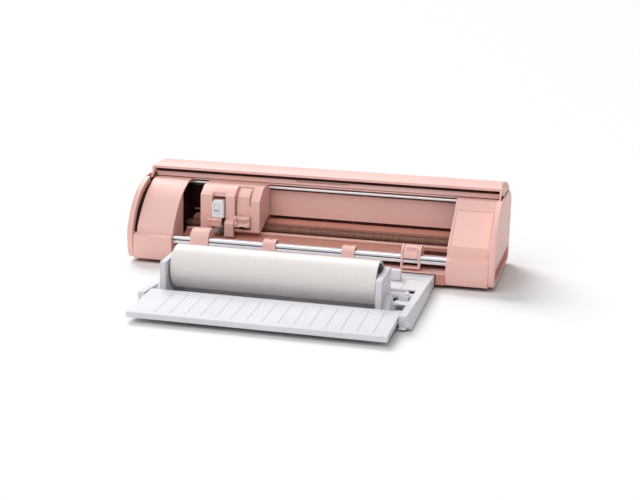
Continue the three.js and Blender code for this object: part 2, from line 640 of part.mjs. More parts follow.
function addTools() {
  // Tool 1: its holder rides in the bay of the housing, with the clamp and the tool in front.
  add('tool_holder_1', join(
    box([-164.4, -143.6], [66, 73.4], [56, 98]),
    box([-164.4, -143.6], [61.4, 67], [56, 62])), PINK_DEEP);

  const tool = join(
    box([-163.4, -144.6], [48, 61.6], [69.8, 94]),
    box([-162, -146], [49.6, 60.6], [93.6, 97]),
    box([-160.6, -147.4], [60, 65.6], [72, 90]));
  add('cutting_tool', cut(tool, box([-160, -149.6], [47, 48.8], [84, 92])), WHITE);

  const neck = new THREE.CylinderGeometry(5.1, 5.1, 16, 24);
  neck.rotateX(Math.PI / 2).translate(-154, 55, 61.3);
  const teeth = shapeOf(gearOutline(6.6, 18, 0.6));
  const gearTeeth = new THREE.ExtrudeGeometry(teeth, { depth: 8, bevelEnabled: false });
  gearTeeth.translate(-154, 55, 45.6);
  const tip = new THREE.CylinderGeometry(2.6, 4.6, 3.6, 20);
  tip.rotateX(-Math.PI / 2).translate(-154, 55, 44.9);
  add('tool_gear', join(neck, gearTeeth, tip), STEEL);

  const clamp = [
    [48.6, 54.2], [47, 55.4], [45, 57.4], [45.6, 62], [43.4, 66.4], [45, 69.2], [49.2, 69.2], [49.2, 54.2],
  ];
  add('tool_clamp_1', alongX(clamp, -168, -147.4), PINK);

  // Tool 2: a plain plate with the pen clamp at its foot.
  const plate = [[60, 55.4], [60, 103], [66, 108], [75.6, 113.8], [75.6, 111.4], [65.6, 104.8], [65.6, 55.4]];
  const shoulders = [box([-128, -124.4], [59, 80], [94, 115]), box([-105.8, -101], [59, 80], [90, 115])];
  add('tool_holder_2', cut(alongX(plate, -126.4, -102.6), ...shoulders), PINK);
  const clamp2 = [[54.8, 55], [49.8, 57.4], [52, 63], [49.4, 70], [51.6, 73], [58.6, 73], [58.6, 55]];
  add('tool_clamp_2', alongX(clamp2, -126, -103), PINK);
}

function pulley(x, z0, z1) {
  return join(rodZ(x, BELT_Y, BELT_R, z0, z1), rodZ(x, BELT_Y, 2, z0 - 4, z0 + 1, 16));
}

function addCarriageDrive() {
  add('drive_pulley', pulley(PULLEY_LEFT, BELT_Z[0], BELT_Z[1]), STEEL);
  add('idler_pulley', pulley(PULLEY_RIGHT, BELT_Z[0], BELT_Z[1]), STEEL);
  const loop = (extra) => {
    const points = [];
    for (const [x, from] of [[PULLEY_RIGHT, -Math.PI / 2], [PULLEY_LEFT, Math.PI / 2]]) {
      for (let i = 0; i <= 8; i += 1) {
        const angle = from + (Math.PI * i) / 8;
        points.push([x + (BELT_R + extra) * Math.cos(angle), BELT_Y + (BELT_R + extra) * Math.sin(angle)]);
      }
    }
    return points;
  };
  const outer = new THREE.ExtrudeGeometry(shapeOf(loop(1.5)), { depth: 4, bevelEnabled: false });
  const inner = new THREE.ExtrudeGeometry(shapeOf(loop(0.4)), { depth: 6, bevelEnabled: false });
  outer.translate(0, 0, BELT_Z[0] + 0.2);
  inner.translate(0, 0, BELT_Z[0] - 1);
  add('carriage_belt', cut(outer, inner), RUBBER);

  const motor = join(rodZ(PULLEY_LEFT, BELT_Y, 15, 60, 96, 28), rodZ(PULLEY_LEFT, BELT_Y, 5, 95, 99, 20));
  add('carriage_motor', cut(motor, rodZ(PULLEY_LEFT, BELT_Y, 2.3, 97, 101, 16)), STEEL);
  const post = join(rodZ(PULLEY_RIGHT, BELT_Y, 4, DECK_TOP + GAP, 103, 20),
    rodZ(PULLEY_RIGHT, BELT_Y, 8, DECK_TOP + GAP, 28, 24));
  add('idler_post', cut(post, rodZ(PULLEY_RIGHT, BELT_Y, 2.3, 102, 104, 16)), STEEL);
}

// ---- electrics ---------------------------------------------------------------------------------------

function addElectrics() {
  add('controller_board', join(
    box([-264, -262.4], [40, 150], [34, 84]),
    box([-262.6, -258], [60, 84], [44, 66]),
    box([-262.6, -254], [110, 124], [40, 54])), BOARD);
  const socket = box([199, 221], [184, 200], [27.6, 34.4]);
  add('power_inlet', cut(box([196.4, 223.6], [180, 196.4], [25.4, 36.6]), socket), DARK);
  const rocker = [[192.4, 25.8], [195, 25.8], [196.8, 30.9], [195, 36.2], [192.4, 36.2], [190, 31]];
  add('power_switch', alongX(rocker, 232.5, 249.5), DARK);
}

// ---- roll feeder -------------------------------------------------------------------------------------

// Side beam of the tray, a little lower towards the machine and cut up at the front for the flap.
function beam(x0, x1, drop) {
  const outline = [
    [TRAY_REAR, 3], [TRAY_REAR, TRAY_REAR_TOP], [TRAY_SLOPE_START, TRAY_TOP],
    [TRAY_FRONT, TRAY_TOP], [TRAY_FRONT - 1, TRAY_TOP - 3],
    [TRAY_FRONT + 1, 8], [TRAY_FRONT + 5, 3.2], [TRAY_FRONT + 14, 2],
    [-170, 2], [-168, drop], [-60, drop], [-58, 3],
  ];
  return alongX(outline, x0, x1);
}

function addTray() {
  const [x0, x1] = TRAY_X;
  const right = beam(x1 - 10, x1, 4);
  const left = beam(x0, x0 + 10, 4);
  const top = [[TRAY_REAR, TRAY_REAR_TOP - 3.6], [TRAY_REAR, TRAY_REAR_TOP], [TRAY_SLOPE_START, TRAY_TOP],
    [TRAY_SLOPE_START, TRAY_TOP - 3.6]];
  const plate = alongX(top, x0 + 2, x1 - 2);
  const skirt = box([x0 + 2, x1 - 2], [-98, -95], [8, TRAY_TOP]);
  const floor = box([x0 + 2, x1 - 2], [-200, -120], [3, 6]);
  const step = box([x0 + 11, x1 - 10.01], [-150, -124], [3, 13]);
  const lintel = box([x0 + 2, x1 - 2], [-203, -196], [3, 15]);
  const rod = rodX(-108, 15.4, 4, x0 + 9, x1 - 9, 20);
  const runners = [
    box([x0 + 1, x0 + 10], [TRAY_REAR - 1, RUNNER_END], [5, 17]),
    box([x1 - 10, x1 - 1], [TRAY_REAR - 1, RUNNER_END], [5, 17]),
  ];
  const sills = [box([x0 + 2, x0 + 10], [-200, -96], [3, 12]), box([x1 - 9, x1 - 2], [-200, -96], [3, 12])];
  const pads = [box([x0 + 1, x0 + 9], [-205, -180], [0, 4]), box([x1 - 9, x1 - 1], [-205, -180], [0, 4])];
  const flare = hull([
    [x1 - 1, TRAY_FRONT + 8, 2], [x1 - 1, -44, 2], [x1 - 1, TRAY_FRONT, 20], [x1 - 1, TRAY_FRONT, 8],
    [x1 - 1, -44, 19], [x1, TRAY_FRONT, 20], [x1, -44, 19], [x1 + 4.4, TRAY_FRONT, 8],
    [x1 + 5.6, TRAY_FRONT + 8, 2], [x1 + 1.4, -44, 2],
  ]);
  const frame = join(right, left, flare, plate, skirt, floor, step, lintel, rod);
  const body = join(frame, ...runners, ...sills, ...pads);
  const groove = box([-150, 188], [-37.4, -35.6], [19.2, 24]);
  const seam = alongX([[-97, 21.3], [-97, 24], [-37, 24], [-37, 20.3]], 164.6, 165.4);
  const pinHole = rodX(FLAP_HINGE_Y, FLAP_HINGE_Z, 2.4, x0 - 1, x1 + 1, 20);
  add('feeder_tray', cut(body, groove, seam, pinHole), WHITE);

  const guide = join(
    box([138, 156], [-52, -39.4], [21.6, 36]),
    box([142, 152], [-37.2, -35.8], [19.6, 24]),
    box([142, 152], [-40, -35.8], [21.6, 25]));
  add('edge_guide', guide, WHITE);
}

function holder(plateX, gussetX) {
  const plate = alongX([[-195, 6.6], [-195, 55.4], [-192.6, 57.6], [-131.6, 61.4], [-128, 59.2], [-128, 13.6],
    [-150.6, 13.6], [-150.6, 6.6]], plateX[0], plateX[1]);
  const hub = rodX(ROLL_Y, ROLL_Z, ROLL_R - ROLL_WALL - 0.8, 132, 138, 36);
  const neck = rodX(ROLL_Y, ROLL_Z, 12, 137, plateX[0] + 1, 28);
  const gusset = alongX([[-190, 6.6], [-190, 14], [-166, 30], [-156, 30], [-156, 6.6]], ...gussetX);
  return join(plate, hub, neck, gusset);
}

function addRoll() {
  const right = holder([148.6, 156.6], [156, 166]);
  add('right_roll_holder', right, WHITE);
  add('left_roll_holder', mirrored(right), WHITE);
  const tube = cut(rodX(ROLL_Y, ROLL_Z, ROLL_R, -ROLL_HALF, ROLL_HALF, 56),
    rodX(ROLL_Y, ROLL_Z, ROLL_R - ROLL_WALL, -ROLL_HALF - 1, ROLL_HALF + 1, 56));
  add('vinyl_roll', tube, VINYL);
}

function addFlap() {
  const [x0, x1] = FLAP_X;
  const outline = [
    [-206.4, 14.4], [-206.4, 21.2], [-207.4, TRAY_TOP], [FLAP_FRONT + 1, 14.6], [FLAP_FRONT, 13.4],
    [FLAP_FRONT, 7.4], [FLAP_FRONT + 1.4, 6.6], [-216, 12.4],
  ];
  const lines = [];
  const slope = Math.atan2(TRAY_TOP - 14.6, -207.4 - (FLAP_FRONT + 1));
  const length = FLAP_HINGE_Y - FLAP_FRONT - 14;
  for (let i = -7; i <= 7; i += 1) {
    const groove = new THREE.BoxGeometry(0.7, length, 1);
    groove.rotateX(slope);
    groove.translate(i * LINE_PITCH + 19.5, (FLAP_FRONT - 207.4) / 2 - 1, (TRAY_TOP + 14.6) / 2 + 0.15);
    lines.push(groove);
  }
  const panel = cut(alongX(outline, x0, x1), ...lines);
  const [rear, near] = [FLAP_HINGE_Y + 3, FLAP_HINGE_Y - 3];
  const knuckle = [[near, 10.6], [rear, 10.6], [rear, 20], [near, 20]];
  const pin = (from, to) => rodX(FLAP_HINGE_Y, FLAP_HINGE_Z, 2, from, to, 16);
  add('flap', join(panel, alongX(knuckle, x0, x0 + 8), alongX(knuckle, x1 - 8, x1), pin(x0 - 9, x0 + 4),
    pin(x1 - 4, x1 + 7)), WHITE);
}

addBase();
addEndPanels();
addCovers();
addTopShell();
addRearCover();
addLid();
addPaperPath();
addBeam();
addSideFrames();
addMediaDrive();
addPinchBar();
addPinchHousings();
addCarriage();
addTools();
addCarriageDrive();
addElectrics();
addTray();
addRoll();
addFlap();

export default group;
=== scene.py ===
"""Looks of a desktop vinyl cutter: a pink machine with a roll-back lid and a white roll feeder.

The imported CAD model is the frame. CAD nodes keep their shape, get rounded edges and a material of
their own, and the fine pieces that the CAD leaves out are built around them.
Blender's lengths are metres. The fine pieces are laid out in millimetres and placed by Piece.shell.
"""

import math

import bmesh
import bpy
from mathutils import Matrix, Vector


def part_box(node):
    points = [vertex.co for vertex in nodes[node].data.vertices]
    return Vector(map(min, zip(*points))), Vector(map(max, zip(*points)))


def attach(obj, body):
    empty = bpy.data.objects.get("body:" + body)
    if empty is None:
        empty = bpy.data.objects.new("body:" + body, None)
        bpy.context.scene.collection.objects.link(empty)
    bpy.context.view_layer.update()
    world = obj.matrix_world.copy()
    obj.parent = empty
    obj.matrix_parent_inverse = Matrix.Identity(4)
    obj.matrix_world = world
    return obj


MM = 0.001
DEG = math.pi / 180

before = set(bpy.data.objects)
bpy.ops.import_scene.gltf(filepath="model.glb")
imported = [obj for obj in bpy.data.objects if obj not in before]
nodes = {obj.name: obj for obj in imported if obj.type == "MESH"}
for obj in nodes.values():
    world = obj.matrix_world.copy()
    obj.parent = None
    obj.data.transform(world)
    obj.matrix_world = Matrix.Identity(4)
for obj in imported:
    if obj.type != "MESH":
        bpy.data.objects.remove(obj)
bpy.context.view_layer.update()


# ---- camera, floor and light ---------------------------------------------------------------------

CAMERA_AIM = Vector((0.0683, -0.1315, 0.0902))
CAMERA_DISTANCE = 1.75
CAMERA_AZIMUTH = 13.78 * DEG
CAMERA_ELEVATION = 13.75 * DEG
CAMERA_ROLL = 1.42 * DEG
CAMERA_LENS = 73.1
CAMERA_SENSOR = 36
CAMERA_REACH = 200

FLOOR_HALF = 60
FLOOR_DROP = 0.2 * MM
FLOOR_COLOUR = (0.88, 0.88, 0.885)
WORLD_STRENGTH = 0.27


def add_camera():
    a, e, r = CAMERA_AZIMUTH, CAMERA_ELEVATION, CAMERA_ROLL
    ahead = Vector((-math.sin(a) * math.cos(e), math.cos(a) * math.cos(e), -math.sin(e)))
    right = Vector((math.cos(a), math.sin(a), 0))
    up = right.cross(ahead)
    turn = Matrix((
        math.cos(r) * right + math.sin(r) * up,
        math.cos(r) * up - math.sin(r) * right,
        -ahead,
    )).transposed()
    camera = bpy.data.objects.new("camera", bpy.data.cameras.new("camera"))
    camera.data.lens = CAMERA_LENS
    camera.data.sensor_width = CAMERA_SENSOR
    camera.data.clip_end = CAMERA_REACH
    camera.matrix_world = Matrix.Translation(CAMERA_AIM - CAMERA_DISTANCE * ahead) @ turn.to_4x4()
    bpy.context.scene.collection.objects.link(camera)
    bpy.context.scene.camera = camera


def add_sun(name, strength, spread, azimuth, elevation):
    """A soft light from that side of the object, in degrees: azimuth 0 is the front, 90 the right."""
    light = bpy.data.lights.new(name, "SUN")
    light.energy = strength
    light.angle = spread * DEG
    sun = bpy.data.objects.new(name, light)
    a, e = azimuth * DEG, elevation * DEG
    source = Vector((math.sin(a) * math.cos(e), -math.cos(a) * math.cos(e), math.sin(e)))
    sun.rotation_euler = source.to_track_quat("Z", "Y").to_euler()
    bpy.context.scene.collection.objects.link(sun)


def add_world():
    world = bpy.data.worlds.new("studio")
    world.use_nodes = True
    background = world.node_tree.nodes["Background"]
    background.inputs["Color"].default_value = (1, 1, 1, 1)
    background.inputs["Strength"].default_value = WORLD_STRENGTH
    bpy.context.scene.world = world


def floor_paper():
    material = bpy.data.materials.new("floor_paper")
    material.use_nodes = True
    shader = material.node_tree.nodes["Principled BSDF"]
    shader.inputs["Base Color"].default_value = (*FLOOR_COLOUR, 1)
    shader.inputs["Roughness"].default_value = 0.9
    shader.inputs["Specular IOR Level"].default_value = 0.1
    return material


def add_floor():
    """A wide pale sheet just below the feet, which isn't part of the object."""
    signs = ((-1, -1), (1, -1), (1, 1), (-1, 1))
    corners = [(x * FLOOR_HALF, y * FLOOR_HALF, 0) for x, y in signs]
    mesh = bpy.data.meshes.new("floor")
    mesh.from_pydata(corners, [], [(0, 1, 2, 3)])
    mesh.materials.append(floor_paper())
    floor = bpy.data.objects.new("floor", mesh)
    floor.location.z = -FLOOR_DROP
    bpy.context.scene.collection.objects.link(floor)


add_camera()
add_floor()
add_world()
add_sun("key", strength=1.12, spread=60, azimuth=-12, elevation=52)
add_sun("back", strength=1.8, spread=34, azimuth=-140, elevation=44)
bpy.context.scene.view_settings.view_transform = "Standard"
bpy.context.scene.view_settings.look = "Medium High Contrast"


# ---- materials -----------------------------------------------------------------------------------

# Sockets of the colour Mix node, by number: it hides others of the same names.
MIX_FACTOR, MIX_FIRST, MIX_SECOND, MIX_RESULT = 0, 6, 7, 2
# Pointiness of a flat face and of a sharp outer edge.
FLAT_POINTINESS, SHARP_POINTINESS = 0.53, 0.6
# Noise scale along and across the grain of drawn metal.
STREAKS = (0.4, 2600.0, 2600.0)


def linear(red, green, blue):
    """An 8-bit sRGB colour as linear numbers."""
    def one(value):
        share = value / 255
        return share / 12.92 if share <= 0.04045 else ((share + 0.055) / 1.055) ** 2.4
    return one(red), one(green), one(blue)


def shade(colour, factor):
    return tuple(min(channel * factor, 1.0) for channel in colour)


class Recipe:
    """A node material in the making: one Principled shader, textured in object space."""

    def __init__(self, name, roughness, metallic=0.0):
        self.material = bpy.data.materials.new(name)
        self.material.use_nodes = True
        self.tree = self.material.node_tree
        self.shader = self.tree.nodes["Principled BSDF"]
        self.shader.inputs["Roughness"].default_value = roughness
        self.shader.inputs["Metallic"].default_value = metallic
        self.place = self.tree.nodes.new("ShaderNodeTexCoord").outputs["Object"]

    def link(self, source, target):
        self.tree.links.new(source, target)

    def stretched(self, x, y, z):
        """Object coordinates scaled apart, for streaks and rings."""
        mapping = self.tree.nodes.new("ShaderNodeMapping")
        mapping.inputs["Scale"].default_value = (x, y, z)
        self.link(self.place, mapping.inputs["Vector"])
        return mapping.outputs["Vector"]

    def noise(self, scale, detail=2.0, place=None):
        node = self.tree.nodes.new("ShaderNodeTexNoise")
        node.inputs["Scale"].default_value = scale
        node.inputs["Detail"].default_value = detail
        self.link(place or self.place, node.inputs["Vector"])
        return node.outputs["Fac"]

    def spread(self, value, low, high, start=0.3, end=0.7):
        """Maps a value from start..end onto low..high."""
        node = self.tree.nodes.new("ShaderNodeMapRange")
        node.inputs["From Min"].default_value = start
        node.inputs["From Max"].default_value = end
        node.inputs["To Min"].default_value = low
        node.inputs["To Max"].default_value = high
        self.link(value, node.inputs["Value"])
        return node.outputs["Result"]

    def times(self, value, factor):
        node = self.tree.nodes.new("ShaderNodeMath")
        node.operation = "MULTIPLY"
        node.inputs[1].default_value = factor
        self.link(value, node.inputs[0])
        return node.outputs[0]

    def blend(self, factor, first, second):
        """first where the factor is 0, second where it is 1; either may be a socket or a colour."""
        node = self.tree.nodes.new("ShaderNodeMix")
        node.data_type = "RGBA"
        for number, value in ((MIX_FIRST, first), (MIX_SECOND, second)):
            if isinstance(value, tuple):
                node.inputs[number].default_value = (*value, 1)
            else:
                self.link(value, node.inputs[number])
        self.link(factor, node.inputs[MIX_FACTOR])
        return node.outputs[MIX_RESULT]

    def colour(self, source):
        self.link(source, self.shader.inputs["Base Color"])

    def roughness(self, source):
        self.link(source, self.shader.inputs["Roughness"])

    def bump(self, height, strength, distance):
        node = self.tree.nodes.new("ShaderNodeBump")
        node.inputs["Strength"].default_value = strength
        node.inputs["Distance"].default_value = distance
        self.link(height, node.inputs["Height"])
        self.link(node.outputs["Normal"], self.shader.inputs["Normal"])

    def edge(self):
        """0 on flat ground, 1 on sharp outer edges."""
        geometry = self.tree.nodes.new("ShaderNodeNewGeometry")
        return self.spread(geometry.outputs["Pointiness"], 0, 1, FLAT_POINTINESS, SHARP_POINTINESS)


def moulded(name, colour, roughness=0.42, grain=0.35 * MM, relief=0.12, wear=0.35):
    """Injection-moulded plastic: fine spark texture, slow colour drift, edges rubbed a little lighter."""
    recipe = Recipe(name, roughness)
    drift = recipe.spread(recipe.noise(scale=7.0, detail=3.0), 0, 1)
    body = recipe.blend(drift, shade(colour, 0.955), shade(colour, 1.03))
    rubbed = recipe.times(recipe.edge(), wear)
    gloss = recipe.noise(scale=60.0, detail=4.0)
    recipe.colour(recipe.blend(rubbed, body, shade(colour, 1.14)))
    recipe.roughness(recipe.spread(gloss, roughness - 0.05, roughness + 0.06))
    recipe.bump(recipe.noise(scale=1 / grain), strength=relief, distance=0.04 * MM)
    recipe.shader.inputs["Specular IOR Level"].default_value = 0.3
    return recipe.material


def drawn_metal(name, colour, roughness, metallic=1.0):
    """Metal drawn or brushed along X."""
    recipe = Recipe(name, roughness, metallic)
    streaks = recipe.noise(scale=1.0, detail=3.0, place=recipe.stretched(*STREAKS))
    tone = recipe.spread(streaks, 0, 1)
    recipe.colour(recipe.blend(tone, shade(colour, 0.985), shade(colour, 1.01)))
    recipe.roughness(recipe.spread(streaks, roughness - 0.02, roughness + 0.03))
    return recipe.material


def turned_metal(name, colour, roughness):
    """Turned or stamped steel with a fine even grain."""
    recipe = Recipe(name, roughness, metallic=1.0)
    grain = recipe.noise(scale=900.0, detail=3.0)
    gloss = recipe.noise(scale=120.0, detail=4.0)
    recipe.colour(recipe.blend(recipe.spread(grain, 0, 1), shade(colour, 0.85), shade(colour, 1.1)))
    recipe.roughness(recipe.spread(gloss, roughness - 0.08, roughness + 0.12))
    recipe.bump(grain, strength=0.06, distance=0.03 * MM)
    return recipe.material


def rubbery(name, colour, roughness=0.78):
    """Dull rubber or felt with a little pale dust."""
    recipe = Recipe(name, roughness)
    dust = recipe.spread(recipe.noise(scale=260.0, detail=5.0), 0, 1, start=0.45, end=0.75)
    recipe.colour(recipe.blend(dust, colour, shade(colour, 2.2)))
    recipe.roughness(recipe.spread(recipe.noise(scale=90.0), roughness - 0.1, roughness + 0.1))
    recipe.bump(recipe.noise(scale=2200.0), strength=0.35, distance=0.05 * MM)
    return recipe.material


def gritted(name, colour, spark):
    """A roller sprayed with grit: dark ground, pale specks and a rough surface, in rings along X."""
    recipe = Recipe(name, 0.62, metallic=0.25)
    specks = recipe.noise(scale=1300.0)
    ground = recipe.blend(recipe.spread(specks, 0, 1, start=0.48, end=0.68), colour, spark)
    rings = recipe.noise(scale=1.0, place=recipe.stretched(900.0, 60.0, 60.0))
    recipe.colour(recipe.blend(recipe.spread(rings, 0, 0.2), ground, shade(colour, 0.5)))
    recipe.roughness(recipe.spread(specks, 0.75, 0.4))
    recipe.bump(specks, strength=0.6, distance=0.12 * MM)
    return recipe.material


def film(name, colour, deep):
    """Wound vinyl film: smooth and slightly glossy, with faint rings where the layers drift."""
    recipe = Recipe(name, 0.3)
    rings = recipe.noise(scale=1.0, detail=3.0, place=recipe.stretched(260.0, 2.0, 2.0))
    recipe.colour(recipe.blend(recipe.spread(rings, 0, 0.35), colour, deep))
    recipe.roughness(recipe.spread(recipe.noise(scale=30.0, detail=3.0), 0.42, 0.52))
    recipe.bump(rings, strength=0.015, distance=0.02 * MM)
    recipe.shader.inputs["Coat Weight"].default_value = 0.08
    recipe.shader.inputs["Coat Roughness"].default_value = 0.3
    return recipe.material


def solder_mask(name, lacquer, track):
    """A circuit board: green lacquer over copper tracks."""
    recipe = Recipe(name, 0.35)
    tracks = recipe.tree.nodes.new("ShaderNodeTexBrick")
    tracks.inputs["Scale"].default_value = 160.0
    tracks.inputs["Mortar Size"].default_value = 0.03
    recipe.link(recipe.place, tracks.inputs["Vector"])
    recipe.colour(recipe.blend(tracks.outputs["Fac"], lacquer, track))
    recipe.bump(tracks.outputs["Fac"], strength=0.2, distance=0.05 * MM)
    return recipe.material


PINK = linear(246, 203, 195)
PINK_LIT = linear(247, 207, 200)
PINK_PAINTED_SHADE = linear(214, 158, 144)
PINK_GRIP_SHADE_AND_BAND = linear(206, 142, 128)
WHITE = linear(226, 224, 229)
WHITE_LIT = linear(246, 246, 248)
INK = linear(34, 34, 36)
SHADOW = linear(58, 30, 25)
LINE = linear(186, 184, 190)
GROOVE_SHADE = linear(118, 120, 124)

pink = moulded("pink_plastic", PINK)
# The lid and the top shell get a lighter copy of the pink with a finer, lower grain; the lighter colour is
# painted light on the machine's top.
pink_painted_lit = moulded("pink_plastic_painted_lit", PINK_LIT, roughness=0.5, grain=0.25 * MM, relief=0.06)
# The base tray, apron, rear guide, first tool holder and base ribs get a darker copy of the pink: painted
# shade inside the machine.
pink_deep = moulded("pink_plastic_painted_shade", PINK_PAINTED_SHADE, roughness=0.5, grain=0.4 * MM, relief=0.16, wear=0.15)
white = moulded("white_plastic", WHITE, roughness=0.4, grain=0.3 * MM, relief=0.08, wear=0.2)
white_smooth = moulded("white_smooth_plastic", WHITE_LIT, roughness=0.3, grain=0.25 * MM, relief=0.04,
                       wear=0.1)
black = moulded("black_plastic", INK, roughness=0.5, grain=0.35 * MM, relief=0.2, wear=0.5)
# A darker brown pink: painted shade on the plates in the hand grips, and the own colour of the roller's
# plain bands.
grip_shade_and_band_brown = moulded("grip_shade_and_band_plastic", PINK_GRIP_SHADE_AND_BAND, roughness=0.55, grain=0.4 * MM, relief=0.16, wear=0.1)
# Near-black brown for the left side frame and the parking wall: painted shadow deep in the left of the
# bay.
shadow_brown = moulded("dark_plastic_painted_shadow", SHADOW, roughness=0.6, grain=0.4 * MM, relief=0.2, wear=0.1)
silver = drawn_metal("drawn_aluminium", linear(240, 240, 242), roughness=0.4)
# The rail is a whiter, half-metal copy of the aluminium: painted highlight on a rail that sits in the
# lid's shade.
rail_painted_highlight = drawn_metal("rail_metal_painted_highlight", linear(250, 250, 252), roughness=0.3, metallic=0.55)
steel = turned_metal("stamped_steel", linear(168, 170, 174), roughness=0.36)
bright_steel = turned_metal("turned_steel", linear(205, 206, 210), roughness=0.24)
rubber = rubbery("black_rubber", linear(38, 38, 40))
grit = gritted("grit_coating", linear(128, 88, 74), spark=linear(196, 160, 146))
vinyl = film("vinyl_film", linear(240, 235, 232), deep=linear(234, 229, 226))
board = solder_mask("solder_mask", lacquer=(0.015, 0.10, 0.04), track=(0.05, 0.22, 0.09))
# Black felt; most pieces in it are dark strips, plates and discs in gaps, slots and holes: painted shade.
shade_felt = rubbery("black_felt_painted_shade", linear(50, 24, 19), roughness=0.9)
line_grey = moulded("line_grey", LINE, roughness=0.5, grain=0.3 * MM, relief=0.05, wear=0.0)
# Mid grey: painted shade on the floor of the pinch bar's groove.
groove_shade_grey = moulded("groove_shade_grey", GROOVE_SHADE, roughness=0.5, grain=0.3 * MM, relief=0.05, wear=0.0)


# ---- CAD nodes: rounded edges and materials ------------------------------------------------------

FINISHES = {
    pink: ["control_panel", "deck", "right_end_panel", "left_end_panel", "left_cover", "right_cover",
           "rear_cover", "guide_strip", "carriage_beam", "left_pinch_housing", "right_pinch_housing",
           "left_bar_clip", "right_bar_clip", "carriage_housing", "tool_gear_cover", "tool_clamp_1",
           "tool_holder_2", "tool_clamp_2", "pinch_lever"],
    pink_painted_lit: ["lid", "top_shell"],
    pink_deep: ["base_tray", "apron", "rear_guide", "tool_holder_1"],
    white: ["feeder_tray", "flap", "edge_guide", "right_roll_holder", "left_roll_holder"],
    white_smooth: ["cutting_tool", "cutting_strip", "roller_gear"],
    black: ["power_inlet", "power_switch"],
    shadow_brown: ["left_side_frame"],
    silver: ["pinch_bar"],
    rail_painted_highlight: ["carriage_rail"],
    steel: ["right_side_frame", "media_motor", "carriage_motor", "idler_post", "left_bearing",
            "right_bearing"],
    bright_steel: ["tool_gear", "motor_pinion", "drive_pulley", "idler_pulley"],
    rubber: ["foot_front_left", "foot_front_right", "foot_rear_left", "foot_rear_right", "feed_roller",
             "feed_belt", "carriage_belt", "left_pinch_wheel", "right_pinch_wheel"],
    grit: ["grit_roller"],
    vinyl: ["vinyl_roll"],
    board: ["controller_board"],
}
# How far each node's edges are rounded, where it isn't EDGE_ROUND.
EDGE_ROUND = 0.45 * MM
OWN_ROUND = {
    0.9 * MM: ["top_shell", "left_cover", "left_pinch_housing"],
    0.8 * MM: ["right_end_panel", "left_end_panel", "right_cover", "feeder_tray", "edge_guide"],
    0.7 * MM: ["flap", "carriage_housing", "right_roll_holder", "left_roll_holder"],
    0.6 * MM: ["right_pinch_housing"],
    0.3 * MM: ["vinyl_roll"],
    0.25 * MM: ["control_panel"],
    0.15 * MM: ["tool_gear"],
    0.1 * MM: ["motor_pinion", "roller_gear"],
}
SHARP_ANGLE = 32 * DEG
BEVEL_STEPS = 2
FLAT_FACE_WEIGHT = 80
WELD_REACH = 0.005 * MM


def paint(thing, material):
    thing.data.materials.clear()
    thing.data.materials.append(material)


def soften(thing, width):
    """Rounds the sharp edges, smooths the facets of curved faces and keeps flat faces evenly lit."""
    bevel = thing.modifiers.new("rounded_edges", "BEVEL")
    bevel.width = width
    bevel.segments = BEVEL_STEPS
    bevel.limit_method = "ANGLE"
    bevel.angle_limit = SHARP_ANGLE
    bevel.use_clamp_overlap = True
    normals = thing.modifiers.new("face_weighted_normals", "WEIGHTED_NORMAL")
    normals.weight = FLAT_FACE_WEIGHT
    normals.keep_sharp = True
    for face in thing.data.polygons:
        face.use_smooth = True


def edge_width(name):
    for width, names in OWN_ROUND.items():
        if name in names:
            return width
    return EDGE_ROUND


def finish_nodes():
    for material, names in FINISHES.items():
        for name in names:
            paint(nodes[name], material)
            welded = nodes[name].modifiers.new("shared_corners", "WELD")
            welded.merge_threshold = WELD_REACH
            soften(nodes[name], edge_width(name))


finish_nodes()


# ---- fine pieces: how they are made --------------------------------------------------------------

# The pieces are laid out in millimetres in the machine's own frame: x = 0 on the centre line, y = 0 on
# the lower front face, z = 0 on the desk. The rear cover's face lies 197 mm behind that front.
BODY_DEPTH = 197
FRONT_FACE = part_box("rear_cover")[1][1] - BODY_DEPTH * MM


def place(x, y, z):
    return Vector((x * MM, FRONT_FACE + y * MM, z * MM))


def box(name):
    """A CAD node's lowest and highest corners in the pieces' frame, to a hundredth of a millimetre."""
    return [
        (round(x / MM, 2), round((y - FRONT_FACE) / MM, 2), round(z / MM, 2))
        for x, y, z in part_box(name)
    ]


def middle(name):
    """The centre of a CAD node's box."""
    return tuple(round((low + high) / 2, 2) for low, high in zip(*box(name)))


def half_size(name):
    """Half the width, depth and height of a CAD node's box."""
    return tuple(round((high - low) / 2, 2) for low, high in zip(*box(name)))


def about(centre, half):
    """A range with that centre and half width."""
    return centre - half, centre + half


def mirrored(side, inner, outer, centre=0):
    """The range inner..outer from the centre, on its low side (-1) or high side (1), in rising order."""
    return sorted((centre + side * inner, centre + side * outer))


def arc(centre, radius, start, end, steps):
    """(y, z) points of an arc; angles run from straight up towards the front."""
    points = []
    for i in range(steps + 1):
        angle = (start + (end - start) * i / steps) * DEG
        points.append((centre[0] - radius * math.sin(angle), centre[1] + radius * math.cos(angle)))
    return points


